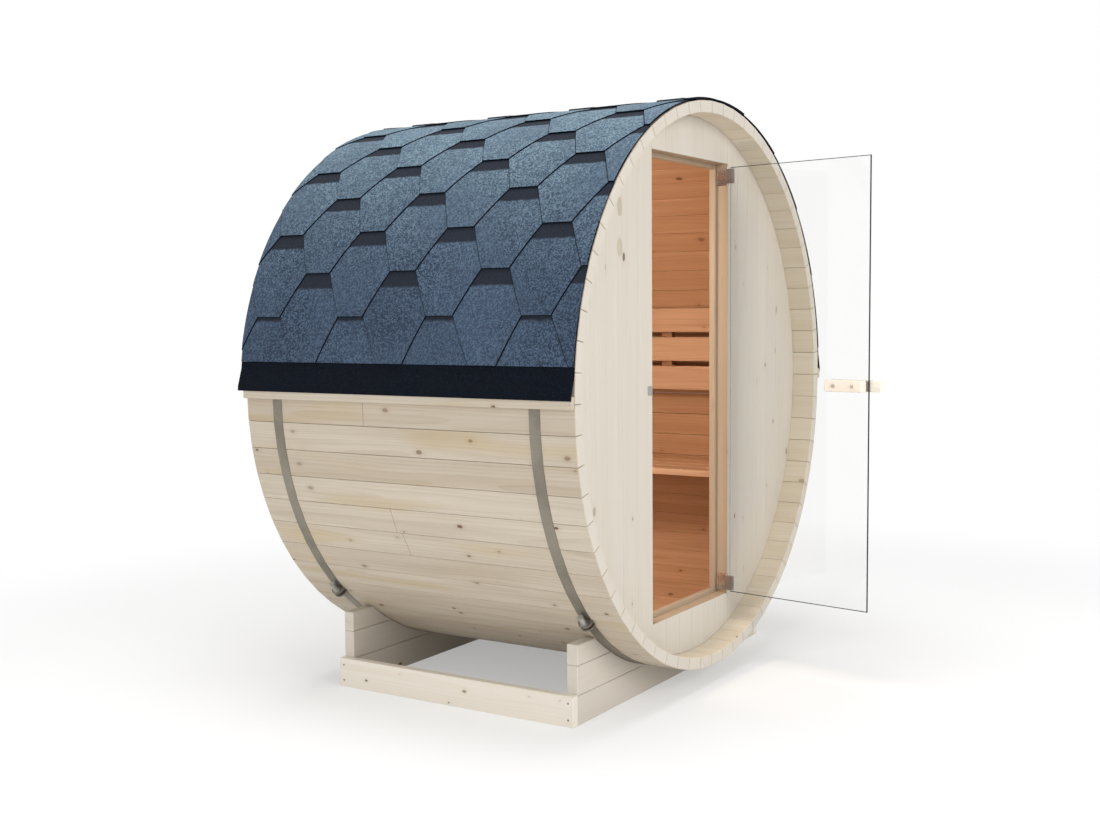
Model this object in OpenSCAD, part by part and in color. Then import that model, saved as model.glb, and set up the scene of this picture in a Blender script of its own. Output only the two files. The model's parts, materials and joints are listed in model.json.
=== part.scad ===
// Outdoor barrel sauna: staves held by steel bands, shingled roof, glass door, timber cradle.
// Frame: +Z up, barrel axis along Y, door towards -Y, origin on the ground under the front cradle.

/* [Barrel] */
// Outside diameter of the barrel across the stave flats
barrel_d = 1840; // [1500:10:2300]
// Length of the staves
barrel_l = 1215; // [1100:5:2400]
// Number of staves in the ring, even so that a joint lies level with the axis
stave_count = 66; // [48:2:80]
// Thickness of a stave
stave_t = 38; // [28:1:48]
// Bevel along the four long edges of a stave
stave_edge = 3; // [1:0.5:6]
// Open joint left between neighbouring staves
stave_joint = 0.2; // [0.1:0.1:0.5]
// Height of the barrel's underside over the ground
ground_gap = 63; // [45:1:90]

/* [End walls] */
// Distance of each end wall in from the rim
wall_recess = 85; // [60:1:110]
// Thickness of the end walls
wall_t = 42; // [30:1:50]

/* [Doorway] */
// Width of the doorway in the front wall
door_open_w = 565; // [520:5:620]
// Sideways offset of the doorway from the barrel axis
door_offset = -17; // [-40:1:20]
// Height of the wall left under the doorway, at the barrel's middle
door_under = 142; // [130:1:180]
// Height of the wall left over the doorway, at the barrel's middle
door_over = 132; // [125:1:260]
// Width of the casing boards behind the doorway's edge
casing_w = 45; // [35:1:60]
// Thickness of the casing boards
casing_t = 20; // [12:1:28]
// How far the casing shows inside the doorway
casing_lap = 15; // [5:1:20]

/* [Glass door] */
// Thickness of the glass
glass_t = 8; // [6:1:10]
// Gap between the glass and the doorway at its top
glass_gap_top = 13; // [8:1:20]
// Gap between the glass and the doorway at its foot
glass_gap_foot = 8; // [6:1:16]
// Gap between the glass and the doorway at its free edge
glass_gap_free = 15; // [8:1:25]
// Gap between the hinge line and the glass
glass_gap_hinge = 14; // [11:1:20]
// Angle to which the door stands open
door_angle = 81; // [0:1:120]
// Distance from the doorway's side to the hinge line
hinge_side_gap = 11; // [9:0.5:14]
// Distance of the hinge line in front of the wall face
hinge_front_gap = 4; // [4:0.5:8]
// Height of a hinge
hinge_h = 60; // [50:1:80]
// Width of the hinge plate on the doorway's side
hinge_plate_w = 40; // [30:1:41]
// Thickness of the hinge metal
hinge_metal = 3; // [2:0.5:4]
// Height of a hinge ear
hinge_ear_h = 5; // [4:0.5:8]
// Radius of the hinge pin
hinge_pin_r = 3.5; // [2.5:0.25:3.75]
// Radius of the hinge knuckle
hinge_knuckle_r = 6.2; // [5.5:0.1:6.5]
// Running clearance of the pin in the knuckle
hinge_pin_fit = 0.05; // [0.02:0.01:0.1]
// Reach of the clamp over the glass, from the hinge line
clamp_reach = 27; // [24:1:70]

/* [Handle] */
// Height of the handle bars
handle_h = 38; // [30:1:50]
// Length of the inside bar
handle_in_l = 134; // [100:1:180]
// Thickness of the inside bar
handle_in_t = 35; // [20:1:36]
// Thickness of the outside bar
handle_out_t = 20; // [14:1:30]
// How far the outside bar reaches past the glass
handle_reach = 37; // [30:1:45]
// Distance of the inside bar from the free edge of the glass
handle_edge = 8; // [5:1:30]
// Rounding of the handle bars
handle_round = 4; // [1:0.5:8]
// Radius of the handle bolts
handle_bolt_r = 3; // [2:0.25:5]
// Radius of the heads of the handle bolts
handle_head_r = 6; // [4:0.25:8]
// Side of the square catch plate
catch_w = 28; // [20:1:32]
// Thickness of the catch plate
catch_t = 2; // [1:0.5:2]

/* [Steel bands] */
// Width of a band
band_w = 36; // [25:1:38]
// Thickness of a band
band_t = 1.5; // [1:0.25:3]
// Distance of each band in from the rim
band_inset = 112; // [90:1:113]
// Angle of the band tighteners below the level of the axis
band_angle = 46; // [30:1:50]
// Open space between the two lugs of a tightener
lug_space = 12; // [8:1:60]
// Thickness of a lug
lug_t = 4; // [3:0.5:6]
// Width of a lug
lug_w = 48; // [40:1:60]
// Height of a lug over the band
lug_h = 29; // [26:0.5:36]
// Height of the tightening bolt over the band
bolt_rise = 14; // [12:0.5:20]
// Radius of the tightening bolt
bolt_r = 5; // [3:0.5:6]
// Length of the long nut over the upper lug
long_nut_l = 32; // [20:1:50]

/* [Roof] */
// Height of a shingle course that shows
course_h = 142; // [110:1:180]
// Height of the first course's lower edge over the axis, along the roof
first_course = 102; // [90:1:125]
// Thickness of the shingles at a course's lower edge
butt_t = 9; // [6:0.5:12]
// Thickness of the shingles at a course's upper edge
head_t = 4; // [2:0.5:5]
// How far the roof reaches past the rear rim
roof_rear = 18; // [0:1:40]
// Width of the ridge row across the top
ridge_w = 150; // [100:5:220]
// Thickness of the plain sheets at the eaves and ridge
sheet_t = 4; // [3:0.5:6]
// Height of the eave battens
batten_h = 36; // [30:1:50]
// Thickness of the eave battens
batten_t = 15; // [10:1:25]
// How far the eave battens show below the axis
batten_drop = 14; // [8:1:20]
// How far the eave battens show below the roof edge
batten_show = 24; // [15:1:28]

/* [Cradle] */
// Width over the side boards
base_w = 1372; // [1300:2:1480]
// Distance of the base in from the front rim
base_inset = 151; // [151:1:200]
// Distance of the base in from the rear rim
base_rear_inset = 164; // [158:1:260]
// Height of the side boards
side_h = 95; // [70:1:120]
// Thickness of the side boards
side_t = 28; // [20:1:40]
// Thickness of the cradle planks
cradle_t = 38; // [30:1:50]
// Height of a cradle plank
cradle_plank_h = 91; // [80:1:110]
// Height of the cradle's ends
cradle_h = 245; // [230:1:300]

/* [Bench] */
// Depth of the bench top below the barrel's axis
bench_drop = 337; // [280:1:420]
// Distance of the bench's front edge from the barrel's middle
bench_front = 433; // [400:1:500]
// Thickness of the bench slats
slat_t = 24; // [18:1:35]
// Number of bench slats
slat_count = 4; // [3:1:5]
// Open gap between slats
slat_gap = 13; // [8:1:25]
// Height of the bench bearers
bearer_h = 60; // [40:1:80]
// Thickness of the bench bearers
bearer_t = 38; // [25:1:45]
// Height of the backrest's upper edge over the barrel's axis
back_rise = 257; // [200:1:280]
// Width of a backrest board
back_board_w = 95; // [80:1:110]
// Open gap between backrest boards
back_gap = 20; // [10:1:30]
// Number of backrest boards
back_count = 3; // [2:1:3]
// Thickness of the backrest boards
back_t = 25; // [18:1:30]
// Width of a backrest cleat
cleat_w = 45; // [30:1:60]
// Thickness of the backrest cleats at their thin end
cleat_min = 3; // [2:0.5:10]

/* [Hidden] */
$fn = 240;

// Clearance where a curved face seats on another piece
seat_gap = 0.3;
// Open joint between pieces that share one sub-part
open_joint = 0.2;
// Length by which a cutter runs past a face
cut = 5;

// Barrel
barrel_r = barrel_d / 2;
inner_r = barrel_r - stave_t;
axis_z = ground_gap + barrel_r;
stave_pitch = 360 / stave_count;
stave_slope = tan(stave_pitch / 2);
stave_reach = norm([barrel_r, barrel_r * stave_slope - stave_edge]);
seat_r = stave_reach + seat_gap;
wall_r = inner_r - seat_gap;

// Places along the barrel, from the front rim
rim_y = -base_inset - cradle_t / 2;
rear_y = rim_y + barrel_l;
front_face = rim_y + wall_recess;
front_inside = front_face + wall_t;
back_face = rear_y - wall_recess;
back_inside = back_face - wall_t;

// Doorway
door_x0 = door_offset - door_open_w / 2;
door_x1 = door_offset + door_open_w / 2;
door_z0 = axis_z - inner_r + door_under;
door_z1 = axis_z + inner_r - door_over;
door_open_h = door_z1 - door_z0;

// Glass door, drawn shut with the hinge line at x = 0 and the free edge towards -X
hinge_x = door_x1 - hinge_side_gap;
hinge_y = front_face - hinge_front_gap;
glass_z0 = door_z0 + glass_gap_foot;
glass_z1 = door_z1 - glass_gap_top;
glass_end = hinge_x - door_x0 - glass_gap_free;
upper_hinge_z = glass_z1 - hinge_h;
lower_hinge_z = glass_z0;
clamp_play = 1;
clamp_h = hinge_h - 2 * hinge_ear_h - clamp_play;
handle_z = (glass_z0 + glass_z1) / 2 - handle_h / 2;
handle_in_end = glass_end - handle_edge;
handle_start = handle_in_end - handle_in_l;
handle_out_l = glass_end + handle_reach - handle_start;
bolt_inset = handle_in_l / 4;
handle_bolt_x = [handle_start + bolt_inset, handle_in_end - bolt_inset];
handle_head_t = 3;
catch_edge = 3;

// Bands and roof
band_r = barrel_r + open_joint;
band_out = (band_r + band_t) / cos(stave_pitch / 2);
tightener_deg = (floor(band_angle / stave_pitch) + 0.5) * stave_pitch;
lug_foot = band_r + band_t + open_joint;
bolt_x = lug_foot + bolt_rise;
washer_t = 3;
head_h = 1.5 * bolt_r;
nut_ratio = 1.8;
nut_r = nut_ratio * bolt_r;
bolt_hole_r = bolt_r + open_joint;
roof_r = band_out + 2 * open_joint;
roof_len = barrel_l + roof_rear;
batten_x = band_out + open_joint;
batten_z = axis_z - batten_drop;
edge_z = batten_show - batten_drop;
arc_deg = 180 / PI / roof_r;
first_deg = first_course * arc_deg;
land_share = 0.8;
course_deg = course_h * arc_deg;
joint_deg = open_joint * arc_deg;
ridge_deg = ridge_w / 2 * arc_deg;
course_count = floor((90 - first_deg) / course_deg) + 1;
arc_steps = 4;

// Cradle
base_l = barrel_l - base_inset - base_rear_inset;
front_cradle_y = rim_y + base_inset;
rear_cradle_y = front_cradle_y + base_l - cradle_t;
cradle_w = base_w - 2 * side_t;

// Bench
bench_y0 = front_inside;
bench_len = back_inside - front_inside;
end_play = 1;
bench_low = axis_z - bench_drop - slat_t;
bench_back = sqrt(wall_r * wall_r - pow(axis_z - bench_low, 2)) - seat_gap;
slat_w = (bench_back - bench_front - slat_gap * (slat_count - 1)) / slat_count;
back_top = axis_z + back_rise;
back_plane = sqrt(wall_r * wall_r - back_rise * back_rise) - cleat_min;
cleat_shares = [0, 0.5, 1];
back_low = back_top - back_count * back_board_w - (back_count - 1) * back_gap;

WOOD = "burlywood";
WOOD_IN = "sandybrown";
WOOD_PALE = "wheat";
STEEL = "silver";
SLATE = "slategray";
TAR = "darkslategray";

// Extrudes a shape drawn in X and Z from y0 to y1
module along_y(y0, y1) {
    translate([0, y1, 0])
        rotate([90, 0, 0])
            linear_extrude(height = y1 - y0)
                children();
}

// Half width of a stave at a radius
function stave_half(r) = r * stave_slope - stave_joint / 2;

module stave_profile() {
    e = stave_edge;
    half = [
        [inner_r, stave_half(inner_r) - e],
        [inner_r + e, stave_half(inner_r + e)],
        [barrel_r - e, stave_half(barrel_r - e)],
        [barrel_r, stave_half(barrel_r) - e]
    ];
    polygon(concat(
        half,
        [for (i = [len(half) - 1 : -1 : 0]) [half[i][0], -half[i][1]]]
    ));
}

// The staves whose middle lies from angle a0 up to angle a1
module staves(a0, a1) {
    along_y(rim_y, rear_y)
        translate([0, axis_z])
            for (i = [-stave_count : stave_count])
                let (a = (i + 0.5) * stave_pitch)
                    if (a >= a0 && a < a1)
                        rotate(a)
                            stave_profile();
}

module floor_staves() {
    color(WOOD) staves(-135, -45);
}

module right_staves() {
    color(WOOD) staves(-45, 45);
}

module top_staves() {
    color(WOOD) staves(45, 135);
}

module left_staves() {
    color(WOOD) staves(135, 225);
}

// Part of the round front wall inside a box from x0, z0 to x1, z1
module front_wall_part(x0, z0, x1, z1) {
    intersection() {
        translate([0, front_inside, axis_z])
            rotate([90, 0, 0])
                cylinder(r = wall_r, h = wall_t);
        translate([x0, front_face - cut, z0])
            cube([x1 - x0, wall_t + 2 * cut, z1 - z0]);
    }
}

module front_wall_left() {
    color(WOOD_PALE)
        front_wall_part(-barrel_r, 0, door_x0, axis_z + barrel_r);
}

module front_wall_right() {
    color(WOOD_PALE)
        front_wall_part(door_x1, 0, barrel_r, axis_z + barrel_r);
}

module front_wall_over_door() {
    color(WOOD_PALE)
        front_wall_part(door_x0, door_z1, door_x1, axis_z + barrel_r);
}

module front_wall_under_door() {
    color(WOOD_PALE)
        front_wall_part(door_x0, 0, door_x1, door_z0);
}

module back_wall() {
    color(WOOD_PALE)
        translate([0, back_face, axis_z])
            rotate([90, 0, 0])
                cylinder(r = wall_r, h = wall_t);
}

// Casing board on the inside of the front wall
module casing(x0, z0, w, h) {
    color(WOOD)
        translate([x0, front_inside, z0])
            cube([w, casing_t, h]);
}

module left_door_casing() {
    casing(door_x0 + casing_lap - casing_w, door_z0 + casing_lap,
        casing_w, door_open_h - 2 * casing_lap);
}

module right_door_casing() {
    casing(door_x1 - casing_lap, door_z0 + casing_lap,
        casing_w, door_open_h - 2 * casing_lap);
}

module top_door_casing() {
    casing(door_x0 + casing_lap - casing_w, door_z1 - casing_lap,
        door_open_w + 2 * (casing_w - casing_lap), casing_w);
}

module bottom_door_casing() {
    casing(door_x0 + casing_lap - casing_w, door_z0 + casing_lap - casing_w,
        door_open_w + 2 * (casing_w - casing_lap), casing_w);
}

// Turns what is drawn on the shut door to where the door stands
module on_door() {
    translate([hinge_x, hinge_y, 0])
        rotate([0, 0, door_angle])
            children();
}

// Pane with holes for the handle bolts
module glass_leaf() {
    color("lightcyan", 0.4)
        on_door()
            difference() {
                translate([-glass_end, -glass_t / 2, glass_z0])
                    cube([glass_end - glass_gap_hinge, glass_t, glass_z1 - glass_z0]);
                for (x = handle_bolt_x)
                    translate([-x, -glass_t, handle_z + handle_h / 2])
                        rotate([-90, 0, 0])
                            cylinder(r = handle_bolt_r + open_joint, h = 2 * glass_t);
            }
}

// Plate on the doorway's side, with two ears that hold the pin
module hinge_plate(z0) {
    color(STEEL) {
        translate([door_x1 - hinge_metal, front_face, z0])
            cube([hinge_metal, hinge_plate_w, hinge_h]);
        for (z = [z0, z0 + hinge_h - hinge_ear_h])
            translate([hinge_x, hinge_y, z]) {
                cylinder(r = hinge_knuckle_r, h = hinge_ear_h);
                cube([hinge_side_gap, hinge_knuckle_r + hinge_front_gap, hinge_ear_h]);
            }
        translate([hinge_x, hinge_y, z0])
            cylinder(r = hinge_pin_r, h = hinge_h);
    }
}

module upper_hinge_plate() {
    hinge_plate(upper_hinge_z);
}

module lower_hinge_plate() {
    hinge_plate(lower_hinge_z);
}

// Knuckle with two cheeks that grip the glass
module hinge_clamp(z0) {
    color(STEEL)
        on_door()
            translate([0, 0, z0 + (hinge_h - clamp_h) / 2])
                difference() {
                    union() {
                        cylinder(r = hinge_knuckle_r, h = clamp_h);
                        for (y = [-glass_t / 2 - hinge_metal, glass_t / 2])
                            translate([-clamp_reach, y, 0])
                                cube([clamp_reach - hinge_pin_r, hinge_metal, clamp_h]);
                        translate([-glass_gap_hinge, -glass_t / 2, 0])
                            cube([glass_gap_hinge - hinge_pin_r, glass_t, clamp_h]);
                    }
                    translate([0, 0, -cut])
                        cylinder(r = hinge_pin_r + hinge_pin_fit, h = clamp_h + 2 * cut);
                }
}

module upper_hinge_clamp() {
    hinge_clamp(upper_hinge_z);
}

module lower_hinge_clamp() {
    hinge_clamp(lower_hinge_z);
}

// Bar with rounded long edges on its outer face, lying along X from x0 and standing out along Y
module handle_bar(l, t) {
    r = handle_round;
    difference() {
        rotate([90, 0, 90])
            linear_extrude(height = l)
                union() {
                    square([t - r, handle_h]);
                    translate([t - r, r])
                        square([r, handle_h - 2 * r]);
                    for (z = [r, handle_h - r])
                        translate([t - r, z])
                            circle(r = r);
                }
        for (x = handle_bolt_x)
            translate([x - handle_start, -cut, handle_h / 2])
                rotate([-90, 0, 0])
                    cylinder(r = handle_bolt_r + open_joint, h = t + 2 * cut);
    }
}

module inner_handle() {
    color(WOOD_PALE)
        on_door()
            translate([-handle_start, glass_t / 2, handle_z])
                mirror([1, 0, 0])
                    handle_bar(handle_in_l, handle_in_t);
}

module outer_handle() {
    color(WOOD_PALE)
        on_door()
            translate([-handle_start, -glass_t / 2, handle_z])
                mirror([1, 0, 0])
                    mirror([0, 1, 0])
                        handle_bar(handle_out_l, handle_out_t);
}

// Bolts through both bars and the glass, with a round head on each side
module handle_bolts() {
    out_face = -glass_t / 2 - handle_out_t;
    in_face = glass_t / 2 + handle_in_t;
    color(STEEL)
        on_door()
            for (x = handle_bolt_x)
                translate([-x, 0, handle_z + handle_h / 2])
                    rotate([-90, 0, 0]) {
                        translate([0, 0, out_face])
                            cylinder(r = handle_bolt_r, h = in_face - out_face);
                        for (z = [out_face - handle_head_t, in_face])
                            translate([0, 0, z])
                                cylinder(r = handle_head_r, h = handle_head_t);
                    }
}

// Plate beside the doorway, level with the handle
module door_catch() {
    catch_z = handle_z + (handle_h - catch_w) / 2;
    color(STEEL)
        translate([door_x0 - catch_edge - catch_w, front_face - catch_t, catch_z])
            cube([catch_w, catch_t, catch_w]);
}

// Round lug cut off flat at its foot, with a hole for the bolt, standing on the band
module lug(side) {
    translate([lug_foot, side > 0 ? lug_space / 2 + lug_t : -lug_space / 2, band_w / 2])
        rotate([90, 0, 0])
            linear_extrude(lug_t)
                difference() {
                    translate([lug_h - lug_w / 2, 0])
                        circle(r = lug_w / 2);
                    translate([bolt_rise, 0])
                        circle(r = bolt_hole_r);
                    translate([-lug_w, -lug_w / 2 - cut])
                        square([lug_w, lug_w + 2 * cut]);
                }
}

// End of a band length, square to the stave under the tightener
function band_end(r, angle, side) =
    polar(norm([r, lug_space / 2]), angle + side * atan(lug_space / 2 / r));

// One face of a band length, flat on each stave from the tightener at a0 to the one at a1
function band_line(r, a0, a1) = concat(
    [band_end(r, a0, 1)],
    [
        for (i = [ceil(a0 / stave_pitch) : floor(a1 / stave_pitch)])
            polar(r / cos(stave_pitch / 2), i * stave_pitch)
    ],
    [band_end(r, a1, -1)]
);

module band_length(y0, a0, a1) {
    along_y(y0, y0 + band_w)
        translate([0, axis_z])
            polygon(concat(
                band_line(band_r + band_t, a0, a1),
                backwards(band_line(band_r, a0, a1))
            ));
}

// Band in an upper and a lower length, open at both tighteners
module band(y0) {
    color(STEEL) {
        band_length(y0, -tightener_deg, 180 + tightener_deg);
        band_length(y0, tightener_deg - 180, -tightener_deg);
    }
}

module front_band() {
    band(rim_y + band_inset);
}

module rear_band() {
    band(rear_y - band_inset - band_w);
}

// Repeats a piece at the four tighteners: X out of the barrel, Y up along the band, Z across its width
module at_tighteners() {
    for (y0 = [rim_y + band_inset, rear_y - band_inset - band_w])
        for (side = [-1, 1])
            on_side(side)
                translate([0, y0 + band_w, axis_z])
                    rotate([90, 0, 0])
                        rotate([0, 0, -tightener_deg])
                            children();
}

module band_lugs() {
    color(STEEL)
        at_tighteners()
            for (side = [-1, 1])
                lug(side);
}

// Bolt through both lugs, with a hexagon head below, a long round nut above and a washer at each
module tightener_bolt() {
    grip = lug_space / 2 + lug_t;
    nut_face = grip + washer_t;
    translate([bolt_x, 0, band_w / 2])
        rotate([-90, 0, 0]) {
            translate([0, 0, -nut_face])
                cylinder(r = bolt_r, h = 2 * nut_face);
            translate([0, 0, -nut_face - head_h])
                cylinder(r = nut_r, h = head_h, $fn = 6);
            translate([0, 0, nut_face])
                cylinder(r = nut_r, h = long_nut_l);
            for (z = [-nut_face, grip])
                translate([0, 0, z])
                    cylinder(r = nut_r + washer_t, h = washer_t);
        }
}

module band_bolts() {
    color(STEEL)
        at_tighteners()
            tightener_bolt();
}

// A right-hand piece as it is, or mirrored to the left
module on_side(side) {
    if (side > 0) {
        children();
    } else {
        mirror([1, 0, 0])
            children();
    }
}

module eave_batten(side) {
    color(WOOD)
        on_side(side)
            translate([batten_x, rim_y, batten_z])
                cube([batten_t, barrel_l, batten_h]);
}

module left_eave_batten() {
    eave_batten(-1);
}

module right_eave_batten() {
    eave_batten(1);
}

function polar(r, a) = [r * cos(a), r * sin(a)];

// Points of an arc whose radius runs from r0 to r1
function arc(r0, r1, a0, a1) = [
    for (i = [0 : arc_steps]) polar(r0 + (r1 - r0) * i / arc_steps, a0 + (a1 - a0) * i / arc_steps)
];

function backwards(list) = [for (i = [len(list) - 1 : -1 : 0]) list[i]];

module along_roof() {
    along_y(rim_y, rim_y + roof_len)
        translate([0, axis_z])
            children();
}

// Plain sheet from the eave batten up to the first course
module starter_strip(side) {
    out_x = batten_x + batten_t + open_joint;
    top_z = batten_h - batten_drop;
    land_deg = first_deg * land_share;
    end_deg = first_deg - joint_deg;
    inner = [
        [out_x, edge_z],
        [out_x, top_z],
        polar(roof_r, land_deg),
        polar(roof_r, end_deg)
    ];
    outer = [
        [out_x + sheet_t, edge_z],
        [out_x + sheet_t, top_z],
        polar(roof_r + sheet_t, land_deg),
        polar(roof_r + sheet_t, end_deg)
    ];
    color(TAR)
        on_side(side)
            along_roof()
                polygon(concat(outer, backwards(inner)));
}

module left_starter_strip() {
    starter_strip(-1);
}

module right_starter_strip() {
    starter_strip(1);
}

// Shingle courses from the first one up to the ridge, each thick at its lower edge
module roof_shingles(side) {
    color(SLATE)
        on_side(side)
            along_roof()
                for (i = [0 : course_count - 1])
                    let (
                        a0 = first_deg + i * course_deg,
                        a1 = min(a0 + course_deg, 90) - joint_deg,
                        outer = arc(roof_r + butt_t, roof_r + head_t, a0, a1),
                        inner = arc(roof_r, roof_r, a0, a1)
                    )
                        polygon(concat(outer, backwards(inner)));
}

module left_roof_shingles() {
    roof_shingles(-1);
}

module right_roof_shingles() {
    roof_shingles(1);
}

// Row that closes the ridge over the last courses
module ridge_shingles() {
    low = roof_r + butt_t + seat_gap;
    outer = arc(low + sheet_t, low + sheet_t, 90 - ridge_deg, 90 + ridge_deg);
    inner = arc(low, low, 90 - ridge_deg, 90 + ridge_deg);
    color(SLATE)
        along_roof()
            polygon(concat(outer, backwards(inner)));
}

// Plank of a cradle from z0 to z1, cut to the barrel
module cradle_plank(y0, z0, z1) {
    color(WOOD)
        difference() {
            translate([-cradle_w / 2, y0, z0])
                cube([cradle_w, cradle_t, z1 - z0]);
            translate([0, y0 + cradle_t + cut, axis_z])
                rotate([90, 0, 0])
                    cylinder(r = seat_r, h = cradle_t + 2 * cut);
        }
}

module front_cradle_lower() {
    cradle_plank(front_cradle_y, 0, cradle_plank_h);
}

module front_cradle_middle() {
    cradle_plank(front_cradle_y, cradle_plank_h, 2 * cradle_plank_h);
}

module front_cradle_upper() {
    cradle_plank(front_cradle_y, 2 * cradle_plank_h, cradle_h);
}

module rear_cradle_lower() {
    cradle_plank(rear_cradle_y, 0, cradle_plank_h);
}

module rear_cradle_middle() {
    cradle_plank(rear_cradle_y, cradle_plank_h, 2 * cradle_plank_h);
}

module rear_cradle_upper() {
    cradle_plank(rear_cradle_y, 2 * cradle_plank_h, cradle_h);
}

module side_board(side) {
    color(WOOD)
        on_side(side)
            translate([cradle_w / 2, front_cradle_y, 0])
                cube([side_t, base_l, side_h]);
}

module left_side_board() {
    side_board(-1);
}

module right_side_board() {
    side_board(1);
}

module bench_slats() {
    color(WOOD_IN)
        for (i = [0 : slat_count - 1])
            translate([bench_front + i * (slat_w + slat_gap), bench_y0 + end_play, bench_low])
                cube([slat_w, bench_len - 2 * end_play, slat_t]);
}

// Bearers on the two end walls, cut to the staves
module bench_bearers() {
    color(WOOD_IN)
        for (y = [bench_y0, bench_y0 + bench_len - bearer_t])
            intersection() {
                translate([bench_front, y, bench_low - bearer_h])
                    cube([barrel_r, bearer_t, bearer_h]);
                translate([0, y + bearer_t + cut, axis_z])
                    rotate([90, 0, 0])
                        cylinder(r = wall_r, h = bearer_t + 2 * cut);
            }
}

module backrest_boards() {
    color(WOOD_IN)
        for (i = [0 : back_count - 1])
            translate([
                back_plane - back_t,
                bench_y0 + end_play,
                back_top - back_board_w - i * (back_board_w + back_gap)
            ])
                cube([back_t, bench_len - 2 * end_play, back_board_w]);
}

// Upright cleats between the backrest and the staves
module backrest_cleats() {
    color(WOOD_IN)
        for (share = cleat_shares)
            let (y = bench_y0 + end_play + share * (bench_len - cleat_w - 2 * end_play))
                intersection() {
                    translate([back_plane, y, back_low])
                        cube([barrel_r, cleat_w, back_top - back_low]);
                    translate([0, y + cleat_w + cut, axis_z])
                        rotate([90, 0, 0])
                            cylinder(r = wall_r, h = cleat_w + 2 * cut);
                }
}

floor_staves();
left_staves();
right_staves();
top_staves();
front_wall_left();
front_wall_right();
front_wall_over_door();
front_wall_under_door();
back_wall();
left_door_casing();
right_door_casing();
top_door_casing();
bottom_door_casing();
glass_leaf();
upper_hinge_plate();
lower_hinge_plate();
upper_hinge_clamp();
lower_hinge_clamp();
outer_handle();
inner_handle();
handle_bolts();
door_catch();
front_band();
rear_band();
band_lugs();
band_bolts();
left_eave_batten();
right_eave_batten();
left_starter_strip();
right_starter_strip();
left_roof_shingles();
right_roof_shingles();
ridge_shingles();
front_cradle_lower();
front_cradle_middle();
front_cradle_upper();
rear_cradle_lower();
rear_cradle_middle();
rear_cradle_upper();
left_side_board();
right_side_board();
bench_slats();
bench_bearers();
backrest_boards();
backrest_cleats();
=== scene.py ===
"""Looks of an outdoor barrel sauna: spruce staves, shingled roof, glass door and timber cradle."""

import json
import math
import random
from itertools import pairwise

import bmesh
import bpy
from mathutils import Matrix, Vector


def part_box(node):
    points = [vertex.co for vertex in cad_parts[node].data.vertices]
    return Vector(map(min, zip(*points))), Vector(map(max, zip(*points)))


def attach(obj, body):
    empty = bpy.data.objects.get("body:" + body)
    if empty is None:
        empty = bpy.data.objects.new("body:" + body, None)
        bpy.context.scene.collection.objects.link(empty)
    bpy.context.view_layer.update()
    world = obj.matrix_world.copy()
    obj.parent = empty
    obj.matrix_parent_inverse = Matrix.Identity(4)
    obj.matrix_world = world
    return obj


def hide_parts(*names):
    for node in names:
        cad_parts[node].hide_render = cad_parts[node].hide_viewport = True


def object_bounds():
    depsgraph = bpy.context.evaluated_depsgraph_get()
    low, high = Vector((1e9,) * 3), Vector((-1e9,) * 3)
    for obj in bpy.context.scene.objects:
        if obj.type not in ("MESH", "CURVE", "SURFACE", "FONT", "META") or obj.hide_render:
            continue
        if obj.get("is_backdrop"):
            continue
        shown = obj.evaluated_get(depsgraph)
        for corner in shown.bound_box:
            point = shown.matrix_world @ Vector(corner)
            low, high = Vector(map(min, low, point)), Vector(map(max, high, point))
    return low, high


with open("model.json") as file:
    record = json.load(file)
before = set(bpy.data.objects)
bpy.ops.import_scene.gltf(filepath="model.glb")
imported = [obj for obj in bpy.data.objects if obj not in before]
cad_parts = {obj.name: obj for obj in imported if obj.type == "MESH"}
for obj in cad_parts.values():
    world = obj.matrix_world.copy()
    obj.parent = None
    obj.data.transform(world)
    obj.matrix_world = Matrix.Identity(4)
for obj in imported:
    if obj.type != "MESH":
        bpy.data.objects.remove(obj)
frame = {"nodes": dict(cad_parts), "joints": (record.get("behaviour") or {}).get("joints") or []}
CAD_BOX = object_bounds()
MM = 0.001
chance = random.Random(7)

# Axes of the frame, and of a prism: its outline's two and the one it is drawn out along
X, Y, Z = range(3)
A, B, C = range(3)

# Places taken from the frame, in metres
BARREL_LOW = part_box("floor_staves")[0]
BARREL_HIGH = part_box("top_staves")[1]
BARREL_R = (BARREL_HIGH.z - BARREL_LOW.z) / 2
AXIS_Z = BARREL_LOW.z + BARREL_R
RIM_Y, REAR_Y = BARREL_LOW.y, BARREL_HIGH.y
FRONT_Y, FRONT_IN_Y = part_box("front_wall_left")[0].y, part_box("front_wall_left")[1].y
BACK_IN_Y, BACK_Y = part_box("back_wall")[0].y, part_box("back_wall")[1].y
WALL_R = (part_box("back_wall")[1].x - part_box("back_wall")[0].x) / 2
DOOR_X0, DOOR_X1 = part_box("front_wall_left")[1].x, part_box("front_wall_right")[0].x
DOOR_Z0, DOOR_Z1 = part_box("front_wall_under_door")[1].z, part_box("front_wall_over_door")[0].z
ROOF_Y0, ROOF_Y1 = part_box("ridge_shingles")[0].y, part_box("ridge_shingles")[1].y
HINGE = Vector(frame["joints"][0]["pos_m"])
DOOR_OPEN = math.radians(-frame["joints"][0]["range_deg"][0])

# Barrel and walls
STAVE_COUNT = 66
STAVE_T = 38 * MM
STAVE_JOINT = 1.1 * MM
STAVE_ROUND = 1.6 * MM
WALL_BOARD = 94 * MM
WALL_GROOVE = 0.8 * MM
WALL_STEPS = 6
WALL_TIP = WALL_R - 1 * MM
EDGE = 1.5 * MM
BOARD_ROUND = 2 * MM

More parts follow.
